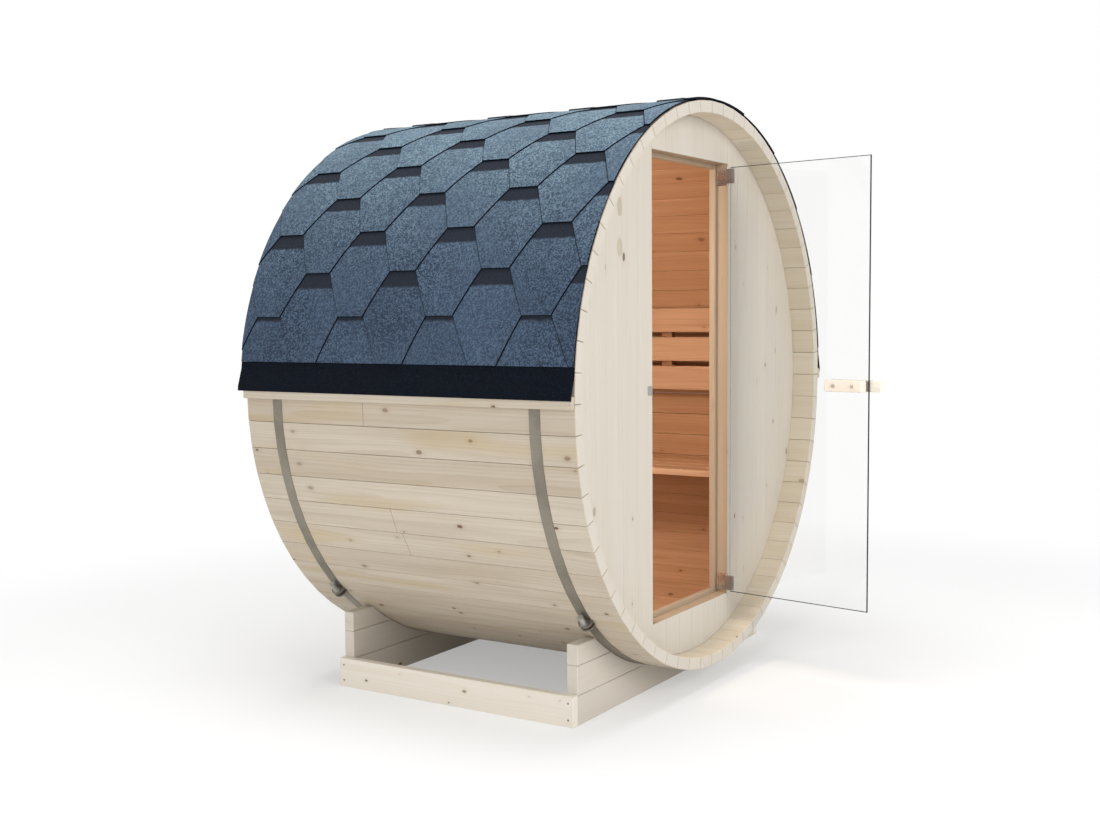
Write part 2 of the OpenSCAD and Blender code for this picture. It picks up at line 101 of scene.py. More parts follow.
# Roof, with heights measured up a course and runs along the barrel
SHEET_T = 3 * MM
RIDGE_T = 4 * MM
BUTT_T = 9 * MM
COURSE = 142 * MM
FIRST_COURSE = 102 * MM
TAB_PITCH = 333 * MM
TAB_FOOT = 94 * MM
TAB_TOP = 233 * MM
TAB_START = 132 * MM
PRINT_START = 234 * MM
# How far the dark underside of a tab spreads past its top face on the slanting edges: a dark line that is
# partly the cut edge, partly painted shadow
TAB_EDGE_SHADOW = 3.5 * MM
TAB_LEAST = 0.1 * MM
FIRST_UNPRINTED = 38 * MM
RIDGE_GAP = 0.3 * MM
FIRST_SUNK = 0.05 * MM
COURSE_STEPS = 8
TONE_RUN, TONE_ARC = 9, 31
ROOF_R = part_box("ridge_shingles")[1].z - AXIS_Z - RIDGE_T - BUTT_T - RIDGE_GAP
COURSE_COUNT = 10

# Glass door, in its shut place: x away from the hinge line, y inwards
GLASS_T = 8 * MM
GLASS_NEAR, GLASS_FAR = 14 * MM, 539 * MM
HANDLE_FROM, HANDLE_IN_TO, HANDLE_OUT_TO = 397 * MM, 531 * MM, 576 * MM
HANDLE_IN_T, HANDLE_OUT_T = 35 * MM, 20 * MM
HANDLE_ROUND, HANDLE_END = 4 * MM, 3 * MM
HANDLE_STEPS = 4
PANE_ARRIS = 2 * MM

# Camera fitted to the photograph
CAMERA_AT = Vector((-4.0763, -2.0344, 1.2446))
CAMERA_YAW = 0.574042
CAMERA_PITCH = -0.0736623
CAMERA_ROLL = -0.0096552
CAMERA_SENSOR = 36
CAMERA_LENS = 44.364
CAMERA_SHIFT = (0.0272, -0.0030)


def colour(code):
    """Scene-linear colour of an sRGB hex code."""
    values = [int(code[i : i + 2], 16) / 255 for i in (1, 3, 5)]
    return [v / 12.92 if v <= 0.04045 else ((v + 0.055) / 1.055) ** 2.4 for v in values] + [1]


class Wire:
    """A value inside a shader that takes part in sums."""

    def __init__(self, shader, socket):
        self.shader = shader
        self.socket = socket

    def __add__(self, other):
        return self.shader.maths("ADD", self, other)

    def __sub__(self, other):
        return self.shader.maths("SUBTRACT", self, other)

    def __mul__(self, other):
        return self.shader.maths("MULTIPLY", self, other)

    def ramp(self, low, high, start=0.0, end=1.0):
        return self.shader.ramp(self, low, high, start, end)


def feed(tree, socket, value):
    """Links an input to a wire or an output, or sets its value."""
    source = value.socket if isinstance(value, Wire) else value
    if isinstance(source, bpy.types.NodeSocket):
        tree.links.new(source, socket)
    else:
        socket.default_value = source


def new_node(tree, kind, inputs=(), **settings):
    """Adds a node with its settings, and feeds the inputs that are named."""
    node = tree.nodes.new(kind)
    for key, value in settings.items():
        setattr(node, key, value)
    for key, value in dict(inputs).items():
        feed(tree, node.inputs[key], value)
    return node


class Shader:
    """A material built around one Principled shader."""

    def __init__(self, name, **settings):
        self.material = bpy.data.materials.new(name)
        self.material.use_nodes = True
        self.tree = self.material.node_tree
        self.principled = self.tree.nodes["Principled BSDF"]
        for socket, value in settings.items():
            self.principled.inputs[socket.replace("_", " ")].default_value = value

    def add(self, kind, inputs=(), **settings):
        return new_node(self.tree, kind, inputs, **settings)

    def set(self, name, value):
        feed(self.tree, self.principled.inputs[name], value)

    def maths(self, operation, a, b=0.0):
        node = self.add("ShaderNodeMath", {0: a, 1: b}, operation=operation)
        return Wire(self, node.outputs[0])

    def ramp(self, value, low, high, start=0.0, end=1.0):
        """Soft step from start at low to end at high."""
        inputs = {"Value": value, "From Min": low, "From Max": high, "To Min": start, "To Max": end}
        node = self.add("ShaderNodeMapRange", inputs, interpolation_type="SMOOTHSTEP")
        return Wire(self, node.outputs[0])

    def mix(self, share, a, b):
        """Colour between a and b."""
        node = self.add("ShaderNodeMix", {0: share, 6: a, 7: b}, data_type="RGBA")
        return Wire(self, node.outputs[2])

    def attribute(self, name, output):
        node = self.add("ShaderNodeAttribute", attribute_name=name)
        return Wire(self, node.outputs[output])

    def place(self):
        """Where a point lies on its object."""
        node = self.add("ShaderNodeTexCoord")
        return Wire(self, node.outputs["Object"])

    def scaled(self, vector, scale):
        node = self.add("ShaderNodeVectorMath", {0: vector, 1: scale}, operation="MULTIPLY")
        return Wire(self, node.outputs[0])

    def split(self, vector):
        node = self.add("ShaderNodeSeparateXYZ", {0: vector})
        return [Wire(self, socket) for socket in node.outputs]

    def noise(self, vector, scale=1.0, detail=2.0):
        """Smooth noise with a mean of a half."""
        inputs = {"Vector": vector, "Scale": scale, "Detail": detail}
        node = self.add("ShaderNodeTexNoise", inputs)
        return Wire(self, node.outputs[0])

    def cells(self, vector, scale, output, dimensions="3D"):
        """Distance to the nearest cell's middle, or the cell's own random colour."""
        inputs = {"Vector": vector, "Scale": scale}
        node = self.add("ShaderNodeTexVoronoi", inputs, voronoi_dimensions=dimensions)
        return Wire(self, node.outputs[output])

    def bump(self, height, strength, distance):
        inputs = {"Height": height, "Strength": strength, "Distance": distance}
        node = self.add("ShaderNodeBump", inputs)
        self.set("Normal", Wire(self, node.outputs[0]))


# Wood grain, with scales per metre along, across and through a board
DRIFT_SCALE = (0.8, 5, 5)
STREAK_SCALE = (0.9, 30, 30)
FIBRE_SCALE = (9, 420, 420)
PATCH_SCALE = (2.2, 7, 7)
RING = 6 * MM
RING_WANDER = 7.0
LATE_WOOD = (0.35, 0.95)
LATE_SHARE, FIBRE_SHARE, PATCH_SHARE, TONE_SHARE = 0.22, 0.45, 0.5, 0.28
MEAN_SHADE = 0.36
ROUGH_FIBRE, ROUGH_SPREAD = (0.2, 0.8), (-0.08, 0.12)
FIBRE_RISE, LATE_RISE, KNOT_DIP = 0.6, 0.25, 0.8
GRAIN_BUMP = (0.25, 0.0006)

# Knots, in cells that are longer along the grain
KNOT_SCALE = 6.5
KNOT_R = 0.058
KNOT_SIZES = (0.35, 1.0)
KNOT_STRETCH = 0.6
KNOT_FRAY = 0.004
KNOT_EDGE = (-0.012, 0.006)
KNOT_SHARES = (0.35, 0.9)
HALO_EDGE = (-0.01, 0.11)
HALO_SHARE = 0.3

# Resin stains, and butt joints between the lengths of a stave
STAIN_SCALE = (1.7, 13, 13)
STAIN_EDGE = (0.54, 0.74)
STAIN_SHARE = 0.38
BUTT_SPACING = 3.2
BUTT_LINE = 2 * MM
BUTT_SHARE = 0.6


def wood(
    name, light, dark, knot, knots=0.4, contrast=1.0, roughness=0.6, knot_scale=KNOT_SCALE, resin=None
):
    """Planed softwood: growth rings round a pith, fibres, soft streaks and a few small knots.

    knots is the share of cells that hold one. With a resin colour the wood also has stains, and butt
    joints between its lengths.
    """
    s = Shader(name, Specular_IOR_Level=0.3)
    grain = s.attribute("grain", "Vector")
    tone = s.attribute("tone", "Fac")
    along, across, depth = s.split(grain)
    drift = s.noise(s.scaled(grain, DRIFT_SCALE))
    streak = s.noise(s.scaled(grain, STREAK_SCALE), detail=3.0)
    fibre = s.noise(s.scaled(grain, FIBRE_SCALE), detail=3.0)
    patch = s.noise(s.scaled(grain, PATCH_SCALE), detail=1.0)
    reach = s.maths("SQRT", across * across + depth * depth)
    ring = s.maths("FRACT", reach * (1 / RING) + drift * RING_WANDER)
    late = ring.ramp(*LATE_WOOD)
    shade = (late - LATE_WOOD[0]) * LATE_SHARE + (streak - 0.5) + (fibre - 0.5) * FIBRE_SHARE
    shade = shade + (patch - 0.5) * PATCH_SHARE + (tone - 0.5) * TONE_SHARE
    shade = shade * contrast + MEAN_SHADE
    base = s.mix(s.maths("MINIMUM", s.maths("MAXIMUM", shade, 0.0), 1.0), light, dark)

    frayed = along * KNOT_STRETCH + fibre * KNOT_FRAY
    spot = Wire(s, s.add("ShaderNodeCombineXYZ", {0: frayed, 1: across, 2: 0.0}).outputs[0])
    far = s.cells(spot, knot_scale, "Distance", "2D")
    pick, wide, deep = s.split(s.cells(spot, knot_scale, "Color", "2D"))
    past = far - wide.ramp(0.0, 1.0, *KNOT_SIZES) * KNOT_R
    kept = s.maths("LESS_THAN", pick, knots)
    core = kept * past.ramp(*KNOT_EDGE, 1.0, 0.0)
    base = s.mix(kept * past.ramp(*HALO_EDGE, HALO_SHARE, 0.0), base, dark)
    base = s.mix(core * deep.ramp(0.0, 1.0, *KNOT_SHARES), base, knot)

    if resin:
        stain = s.noise(s.scaled(grain, STAIN_SCALE), detail=1.0)
        base = s.mix(stain.ramp(*STAIN_EDGE, 0.0, STAIN_SHARE), base, resin)
        place = s.maths("FRACT", along * (1 / BUTT_SPACING)) - 0.5
        line = s.maths("ABSOLUTE", place).ramp(0.0, BUTT_LINE / BUTT_SPACING, BUTT_SHARE, 0.0)
        base = s.mix(line, base, knot)
    s.set("Base Color", base)
    s.set("Roughness", fibre.ramp(*ROUGH_FIBRE, *[roughness + part for part in ROUGH_SPREAD]))
    s.bump(fibre * FIBRE_RISE + late * LATE_RISE - core * KNOT_DIP, *GRAIN_BUMP)
    return s.material


# Steel
SPOT_SCALE, DULL_SCALE = 60.0, 7.0
SPOT_EDGE, DULL_EDGE = (0.5, 0.75), (0.35, 0.7)
SPOT_TONE, DULL_TONE = 1.25, 0.72
SPOT_SHARE = 0.35
LINE_ROUGH, SPOT_ROUGH, ROUGH_OFFSET = 0.25, 0.2, -0.2
SPOT_RISE = 0.4
STEEL_BUMP = (0.12, 0.0004)


def toned(base, factor):
    """A colour made lighter or darker."""
    return [c * factor for c in base[:3]] + [1]


def steel(name, base, roughness, line_scale):
    """Rolled steel with fine drawn lines, bright spots and dull patches."""
    s = Shader(name, Metallic=0.85)
    at = s.place()
    lines = s.noise(s.scaled(at, line_scale), detail=3.0)
    spots = s.noise(at, SPOT_SCALE, 3.0)
    dull = s.noise(at, DULL_SCALE)
    tint = s.mix(dull.ramp(*DULL_EDGE), base, toned(base, DULL_TONE))
    tint = s.mix(spots.ramp(*SPOT_EDGE, 0.0, SPOT_SHARE), tint, toned(base, SPOT_TONE))
    s.set("Base Color", tint)
    s.set("Roughness", lines * LINE_ROUGH + spots * SPOT_ROUGH + (roughness + ROUGH_OFFSET))
    s.bump(lines + spots * SPOT_RISE, *STEEL_BUMP)
    return s.material


# Shingles
GRANULE_SCALE, CLUMP_SCALE, WEAR_SCALE = 250.0, 38.0, 3.2
GRIT_SHARE, CLUMP_SHARE = 0.65, 0.35
SPECK = (0.25, 0.85)
# Granule tones at the eaves, darkened by painted shade, and at the ridge, paled by painted light, blended by
# the angle up the roof
EAVE_SHADE_TONES = colour("#212C3C"), colour("#4F6076")
CREST_LIGHT_TONES = colour("#45596A"), colour("#8DA4AE")
WORN_TONE, COURSE_TONE, PRINT_TONE = colour("#53657A"), colour("#2F3B4D"), colour("#20252F")
SHADE_TO_LIGHT_FADE = (0.2, 1.3)
WEAR_EDGE = (0.35, 0.7)
WEAR_SHARE = 0.3
COURSE_SHARE = 0.22
PRINT_EDGE = (PRINT_START - 6 * MM, PRINT_START + 4 * MM)
PRINT_FRAY = 12 * MM
SHINGLE_ROUGH = (0.1, 0.9, 0.72, 0.95)
DENT_RISE, CLUMP_RISE = -0.7, 0.5
SHINGLE_BUMP = (0.5, 0.0012)


def shingle(name):
    """Mineral granules on bitumen, with painted shade darkening them towards the eaves and painted light
    paling them towards the ridge, and the dark band printed on each course.
    """
    s = Shader(name, Specular_IOR_Level=0.25)
    tone = s.attribute("tone", "Fac")
    _, height, arc = s.split(s.attribute("roof", "Vector"))
    body = s.place()
    grit = s.split(s.cells(body, GRANULE_SCALE, "Color"))[0]
    dent = s.cells(body, GRANULE_SCALE, "Distance")
    clump = s.noise(body, CLUMP_SCALE, 3.0)
    wear = s.noise(body, WEAR_SCALE)
    speck = grit * GRIT_SHARE + clump * CLUMP_SHARE
    # Painted shade near the eaves, fading to painted light near the ridge
    base = s.mix(speck.ramp(*SPECK), *EAVE_SHADE_TONES)
    pale = s.mix(speck.ramp(*SPECK), *CREST_LIGHT_TONES)
    base = s.mix(arc.ramp(*SHADE_TO_LIGHT_FADE), base, pale)
    base = s.mix(wear.ramp(*WEAR_EDGE, 0.0, WEAR_SHARE), base, WORN_TONE)
    base = s.mix(tone.ramp(0.0, 1.0, 0.0, COURSE_SHARE), base, COURSE_TONE)
    edge = height + (clump - 0.5) * PRINT_FRAY
    base = s.mix(edge.ramp(*PRINT_EDGE), base, PRINT_TONE)
    s.set("Base Color", base)
    s.set("Roughness", speck.ramp(*SHINGLE_ROUGH))
    s.bump(dent * DENT_RISE + clump * CLUMP_RISE, *SHINGLE_BUMP)
    return s.material


# Bitumen sheet
TAR_GRIT_SCALE, TAR_WEAR_SCALE = 420.0, 9.0
TAR_TONES = colour("#080D15"), colour("#131B28")
TAR_WORN_TONE = colour("#0E1218")
TAR_GRIT_EDGE = (0.55, 1.0)
TAR_WEAR = (0.4, 0.75, 0.0, 0.5)
TAR_ROUGH = (0.7, 0.95)
LUMP_RISE, WEAR_RISE = 0.6, 0.4
TAR_BUMP = (0.35, 0.0008)


def tar(name):
    """Plain bitumen sheet with fine dark granules."""
    s = Shader(name, Specular_IOR_Level=0.1)
    at = s.place()
    grit, gloss, lump = s.split(s.cells(at, TAR_GRIT_SCALE, "Color"))
    wear = s.noise(at, TAR_WEAR_SCALE, 3.0)
    base = s.mix(grit.ramp(*TAR_GRIT_EDGE), *TAR_TONES)
    base = s.mix(wear.ramp(*TAR_WEAR), base, TAR_WORN_TONE)
    s.set("Base Color", base)
    s.set("Roughness", gloss.ramp(0.0, 1.0, *TAR_ROUGH))
    s.bump(lump * LUMP_RISE + wear * WEAR_RISE, *TAR_BUMP)
    return s.material


# Glass
GLASS_TINT = (0.985, 0.995, 0.99, 1)
GLASS_IOR = 1.45
SMEAR_SCALE = 5.0
SMEAR_ROUGH = (0.55, 0.8, 0.0, 0.02)
RIM_STREAK_SCALE = 14.0
RIM_TONES = colour("#15191A"), colour("#31383A")
RIM_STREAK_EDGE, RIM_ROUGH = (0.3, 0.7), (0.12, 0.3)


def clear_glass(name):
    """Faces of the pane, with a trace of smears."""
    s = Shader(name, Base_Color=GLASS_TINT, IOR=GLASS_IOR, Transmission_Weight=1.0)
    smear = s.noise(s.place(), SMEAR_SCALE)
    s.set("Roughness", smear.ramp(*SMEAR_ROUGH))
    return s.material


def ground_glass(name):
    """Polished rim of the pane, where the light runs out grey."""
    s = Shader(name, Specular_IOR_Level=0.2)
    streak = s.noise(s.place(), RIM_STREAK_SCALE, 3.0)
    s.set("Base Color", s.mix(streak.ramp(*RIM_STREAK_EDGE), *RIM_TONES))
    s.set("Roughness", streak.ramp(0.0, 1.0, *RIM_ROUGH))
    return s.material


# Finishes. Woods have a light, a dark and a knot colour, a share of knots and a contrast.
SPRUCE = wood(
    "spruce", colour("#CDC3B3"), colour("#A5937C"), colour("#66492F"), 0.6, 0.75, knot_scale=8.5,
    resin=colour("#B8A274"),
)
PALE = wood("pale_spruce", colour("#D5CFC5"), colour("#C2B8A7"), colour("#6E5644"), 0.45, 0.38)
END = wood("end_grain", colour("#D5CFC5"), colour("#C2B8A7"), colour("#6E5644"), 0.0, 0.38)
RIM = wood("rim_spruce", colour("#E2D9C8"), colour("#C9B89C"), colour("#765A40"), 0.3, 0.7)
BOARD = wood(
    "board_spruce", colour("#EDE7DD"), colour("#D8CDBA"), colour("#7A5C3E"), 0.7, 0.6, knot_scale=11.0
)
# Doorway faces and casing: a darker, warmer copy of the pale wall wood, painted shade and painted warm lamp
# light
REVEAL_SHADED = wood("reveal_wood_shaded", colour("#BCA891"), colour("#A18A70"), colour("#6A4C34"), 0.15, 0.8)
# Inside the cabin: a darker, more orange copy of the spruce, partly painted warm lamp light and shade
CABIN_WARM_LIT = wood("cabin_wood_warm_lit", colour("#CBA27E"), colour("#A57A58"), colour("#74492F"), 0.3, 0.85)
BENCH = wood("bench_wood", colour("#DFBB9A"), colour("#BC9070"), colour("#643F2A"), 0.35)
HANDLE = wood("handle_wood", colour("#F5EFE5"), colour("#E3D8C6"), colour("#A98A66"), 0.0, 0.6, 0.45)
PLUG = wood("plug_wood", colour("#C2B9A6"), colour("#A3977F"), colour("#8A7450"), 0.0, 0.9)
BAND_STEEL = steel("band_steel", colour("#968F83"), 0.5, (40, 900, 40))
BRIGHT_STEEL = steel("bright_steel", colour("#BDBDBB"), 0.38, (300, 300, 40))
POLISHED_STEEL = steel("polished_steel", colour("#E4DDD2"), 0.16, (300, 300, 40))
ZINC = steel("zinc", colour("#F0EBE1"), 0.5, (300, 300, 40))
NAIL_STEEL = steel("nail_steel", colour("#6B5D4C"), 0.55, (200, 200, 200))
SHINGLE = shingle("shingle")
TAR = tar("tar_sheet")
GLASS = clear_glass("glass")
GLASS_RIM = ground_glass("glass_rim")

# Most of a side that a rounded corner takes, and least divisor where an outline turns sharply
CORNER_SHARE = 0.45
SHARPEST = 0.3


def rounded(points, radius, steps=2):
    """Closed outline with each corner replaced by a short curve."""
    result = []
    for i, point in enumerate(points):
        here = Vector(point)
        before = Vector(points[i - 1]) - here
        after = Vector(points[(i + 1) % len(points)]) - here
        reach = min(radius, before.length * CORNER_SHARE, after.length * CORNER_SHARE)
        start = here + before.normalized() * reach
        end = here + after.normalized() * reach
        for step in range(steps + 1):
            t = step / steps
            result.append(start * (1 - t) ** 2 + here * 2 * t * (1 - t) + end * t * t)
    return result


def inset(points, distance):
    """Closed counter-clockwise outline moved inwards."""
    result = []
    count = len(points)
    for i in range(count):
        here = Vector(points[i])
        before = (here - Vector(points[i - 1])).normalized()
        after = (Vector(points[(i + 1) % count]) - here).normalized()
        first = Vector((-before.y, before.x))
        second = Vector((-after.y, after.x))
        result.append(here + (first + second) * (distance / max(SHARPEST, 1 + first.dot(second))))
    return result


def rectangle(low, high):
    """Counter-clockwise corners."""
    return [(low[0], low[1]), (high[0], low[1]), (high[0], high[1]), (low[0], high[1])]


# Ranges of the shift that gives each board its own part of the grain
GRAIN_SHIFTS = ((0, 40), (-0.05, 0.05), (0.03, 0.09))

# Screw heads: size, and shares of the radius
SCREW_R, SCREW_PROUD = 4 * MM, 0.6 * MM
HEAD_TOP, CROSS_ARM, CROSS_SLIT = 0.86, 0.45, 0.14


class Mesh:
    """Collects solids into one object, each with its own grain and tone."""

    def __init__(self, *materials):
        self.materials = materials
        self.points = []
        self.faces = []
        self.slots = []
        self.grain = []
        self.tone = []
        self.roof = []

    def face(self, corners, slot=0):
        self.faces.append(corners)
        self.slots.append(slot)

    def prism(self, outline, stations, place, along, edge=EDGE, slot=None, caps=(0, 0)):
        """Outline in (a, b) drawn out along c, with small bevels round both ends.

        slot(point, span) picks the material of a side face, and along is the axis of the grain.
        """
        small = inset(outline, edge)
        rings = [(small, stations[0]), (outline, stations[0] + edge)]
        rings += [(outline, c) for c in stations[1:-1]]
        rings += [(outline, stations[-1] - edge), (small, stations[-1])]
        count = len(outline)
        first = len(self.points)
        offset = Vector([chance.uniform(*span) for span in GRAIN_SHIFTS])
        tone = chance.random()
        middle = [sum(p[k] for p in outline) / count for k in (A, B)] + [stations[0]]
        for points, c in rings:
            for a, b in points:
                local = (a - middle[0], b - middle[1], c - middle[2])
                rest = [local[k] for k in (A, B, C) if k != along]
                self.points.append(place(a, b, c))
                self.grain.append((local[along] + offset.x, rest[0] + offset.y, rest[1] + offset.z))
                self.tone.append(tone)

        def side(i, j, span):
            return slot((Vector(outline[i]) + Vector(outline[j])) / 2, span)

        self.skin(first, count, len(rings) - 1, side if slot else None, caps)

    def skin(self, first, count, spans, side=None, caps=(0, 0)):
        """Faces between rings of count points each, from the point first on, and over both ends.

        side(i, j, span) picks the material of the face between points i and j of a ring.
        """
        for span in range(spans):
            low, high = first + span * count, first + (span + 1) * count
            for i in range(count):
                j = (i + 1) % count
                self.face((low + i, low + j, high + j, high + i), side(i, j, span) if side else 0)
        last = first + spans * count
        self.face(tuple(first + i for i in reversed(range(count))), caps[0])
        self.face(tuple(last + i for i in range(count)), caps[1])

    def board(self, low, high, axis, radius=BOARD_ROUND):
        """Straight board between two corners with its grain along one axis."""
        a, b = (axis + 1) % 3, (axis + 2) % 3
        outline = rounded(rectangle((low[a], low[b]), (high[a], high[b])), radius)

        def place(p, q, c):
            point = Vector((0, 0, 0))
            point[a], point[b], point[axis] = p, q, c
            return point

        self.prism(outline, (low[axis], high[axis]), place, C)

    def screw(self, at, out, radius=SCREW_R, proud=SCREW_PROUD):
        """Low round head with a cross recess, on a face whose outward direction is out."""
        turn = Vector(out).to_track_quat("Z", "Y").to_matrix()
        arm, slit = radius * CROSS_ARM, radius * CROSS_SLIT
        cross = [(arm, -slit), (arm, slit), (slit, slit), (slit, arm), (-slit, arm), (-slit, slit)]
        cross += [(-x, -y) for x, y in cross]
        count = len(cross)
        angles = [2 * math.pi * (i - 0.5) / count for i in range(count)]
        rim = [(radius * math.cos(angle), radius * math.sin(angle)) for angle in angles]
        top = [(x * HEAD_TOP, y * HEAD_TOP) for x, y in rim]
        rings = [(rim, -radius), (rim, proud / 2), (top, proud), (cross, proud), (cross, proud - arm)]
        first = len(self.points)
        for outline, height in rings:
            for x, y in outline:
                self.loose(Vector(at) + turn @ Vector((x, y, height)))
        self.skin(first, count, len(rings) - 1)

    def loose(self, point):
        """Point of a piece that has no grain."""
        self.points.append(point)
        self.grain.append((0, 0, 0))
        self.tone.append(0.5)

    def build(self, name, body="barrel", replaces=()):
        """Makes the object, turns its faces outwards and hands it to its body."""
        data = bpy.data.meshes.new(name)
        data.from_pydata([tuple(p) for p in self.points], [], self.faces)
        for material in self.materials:
            data.materials.append(material)
        data.polygons.foreach_set("material_index", self.slots)
        tones = data.attributes.new("tone", "FLOAT", "POINT")
        tones.data.foreach_set("value", self.tone)
        for key, places in (("grain", self.grain), ("roof", self.roof)):
            if places:
                vectors = data.attributes.new(key, "FLOAT_VECTOR", "POINT")
                vectors.data.foreach_set("vector", [x for p in places for x in p])
        work = bmesh.new()
        work.from_mesh(data)
        bmesh.ops.recalc_face_normals(work, faces=work.faces)
        work.to_mesh(data)
        work.free()
        piece = bpy.data.objects.new(name, data)
        bpy.context.scene.collection.objects.link(piece)
        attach(piece, body)
        if replaces:
            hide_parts(*replaces)


def upright(a, b, c):
    """Places an outline drawn in X and Z, drawn out along Y."""
    return Vector((a, c, b))


def chord(x, radius):
    """Half height of a circle round the barrel's axis at a distance x from the middle."""
    return math.sqrt(max(0.0, radius * radius - x * x))


def steps_between(start, end, count):
    """Evenly spaced values, both ends included."""
    return [start + (end - start) * i / count for i in range(count + 1)]


def make_staves():
    """Ring of staves, with a darker, more orange copy of the wood inside the cabin, partly painted warm lamp
    light and shade, and paler ends past the end walls.
    """
    outside, cabin, ends, recess = range(4)
    mesh = Mesh(SPRUCE, CABIN_WARM_LIT, END, RIM)
    half = math.pi / STAVE_COUNT
    inner = BARREL_R - STAVE_T
    stations = (RIM_Y, FRONT_IN_Y, BACK_IN_Y, REAR_Y)

    def finish(point, span):
        if point.y > inner + STAVE_ROUND:
            return outside
        return cabin if span == 2 else recess

    for i in range(STAVE_COUNT):
        angle = (i + 0.5) * 2 * half
        widths = [r * math.tan(half) - STAVE_JOINT / 2 for r in (inner, BARREL_R)]
        corners = [(-widths[0], inner), (widths[0], inner), (widths[1], BARREL_R), (-widths[1], BARREL_R)]

        def place(a, b, c):
            x = b * math.cos(angle) - a * math.sin(angle)
            z = b * math.sin(angle) + a * math.cos(angle)
            return Vector((x, c, AXIS_Z + z))

        mesh.prism(rounded(corners, STAVE_ROUND), stations, place, C, slot=finish, caps=(ends, ends))
    mesh.build("stave_ring", replaces=("floor_staves", "left_staves", "right_staves", "top_staves"))


# Materials of a wall board
OUTSIDE, CABIN_SIDE, DOORWAY_SHADED = range(3)


def reveal(point, _span):
    """Material of a wall board's side: the doorway's own faces get a darker, warmer copy of the wood, painted
    shade and painted warm lamp light.
    """
    beside = min(abs(point.x - DOOR_X0), abs(point.x - DOOR_X1)) < MM and DOOR_Z0 < point.y < DOOR_Z1
    across = min(abs(point.y - DOOR_Z0), abs(point.y - DOOR_Z1)) < MM and DOOR_X0 < point.x < DOOR_X1
    return DOORWAY_SHADED if beside or across else OUTSIDE


def wall_board(mesh, x0, x1, y0, y1, low=None, high=None, caps=(OUTSIDE, CABIN_SIDE)):
    """Upright board of a round wall, ending on the circle or at a given height."""
    columns = steps_between(x0, x1, WALL_STEPS)
    if low is None:
        bottom = [(x, AXIS_Z - chord(x, WALL_R)) for x in columns]
    else:
        bottom = [(x0, low), (x1, low)]
    if high is None:
        top = [(x, AXIS_Z + chord(x, WALL_R)) for x in reversed(columns)]
    else:
        top = [(x1, high), (x0, high)]
    mesh.prism(bottom + top, (y0, y1), upright, B, edge=WALL_GROOVE, slot=reveal, caps=caps)


def board_edges(start, end):
    """Sides of boards of about the usual width that fill a span."""
    return steps_between(start, end, max(1, round(abs(end - start) / WALL_BOARD)))


# Oval plugs set where knots were drilled out of the front wall
PLUGS = ((-0.506, 1.5443), (-0.508, 1.4238))
PLUG_W, PLUG_H = 32 * MM, 58 * MM
PLUG_SIDES = 32
PLUG_PROUD, PLUG_DEEP, PLUG_EDGE = 0.2 * MM, 2 * MM, 0.1 * MM


def make_walls():
    """Upright tongue-and-groove boards: pale outside, and inside the cabin's darker, more orange wood, partly
    painted warm lamp light and shade.
    """
    front = Mesh(PALE, CABIN_WARM_LIT, REVEAL_SHADED)
    for start, end in ((-WALL_TIP, DOOR_X0), (DOOR_X1, WALL_TIP)):
        for x0, x1 in pairwise(board_edges(start, end)):
            wall_board(front, x0, x1, FRONT_Y, FRONT_IN_Y)
    for x0, x1 in pairwise(board_edges(DOOR_X0, DOOR_X1)):
        wall_board(front, x0, x1, FRONT_Y, FRONT_IN_Y, low=DOOR_Z1)
        wall_board(front, x0, x1, FRONT_Y, FRONT_IN_Y, high=DOOR_Z0)
    plugs = Mesh(PLUG)
    for x, z in PLUGS:
        outline = [
            (x + PLUG_W / 2 * math.cos(a), z + PLUG_H / 2 * math.sin(a))
            for a in steps_between(0, 2 * math.pi, PLUG_SIDES)[:-1]
        ]
        ends = (FRONT_Y - PLUG_PROUD, FRONT_Y + PLUG_DEEP)
        plugs.prism(outline, ends, upright, B, edge=PLUG_EDGE)
    plugs.build("wall_plugs")
    parts = ("front_wall_left", "front_wall_right", "front_wall_over_door", "front_wall_under_door")
    front.build("front_wall_boards", replaces=parts)
    back = Mesh(PALE, CABIN_WARM_LIT, PALE)
    for x0, x1 in pairwise(board_edges(-WALL_TIP, WALL_TIP)):
        wall_board(back, x0, x1, BACK_IN_Y, BACK_Y, caps=(CABIN_SIDE, OUTSIDE))
    back.build("back_wall_boards", replaces=("back_wall",))


def make_casing():
    """Boards round the doorway on the inside, each with its grain along its length, in the doorway's darker,
    warmer wood: painted shade and painted warm lamp light.
    """
    mesh = Mesh(REVEAL_SHADED)
    nodes = ("left_door_casing", "right_door_casing", "top_door_casing", "bottom_door_casing")
    for node in nodes:
        low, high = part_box(node)
        size = high - low
        mesh.board(low, high, Z if size.z > size.x else X)
    mesh.build("door_casing", replaces=nodes)


CRADLE_R = BARREL_R + 1.5 * MM


def arc_x(z):
    """Distance from the middle at which a cradle plank meets the barrel at a height."""
    return chord(AXIS_Z - z, CRADLE_R)


PLANK_JOINT = 1.2 * MM
PLANK_EDGE = 2 * MM
LOWER_STEPS, SIDE_STEPS = 16, 8


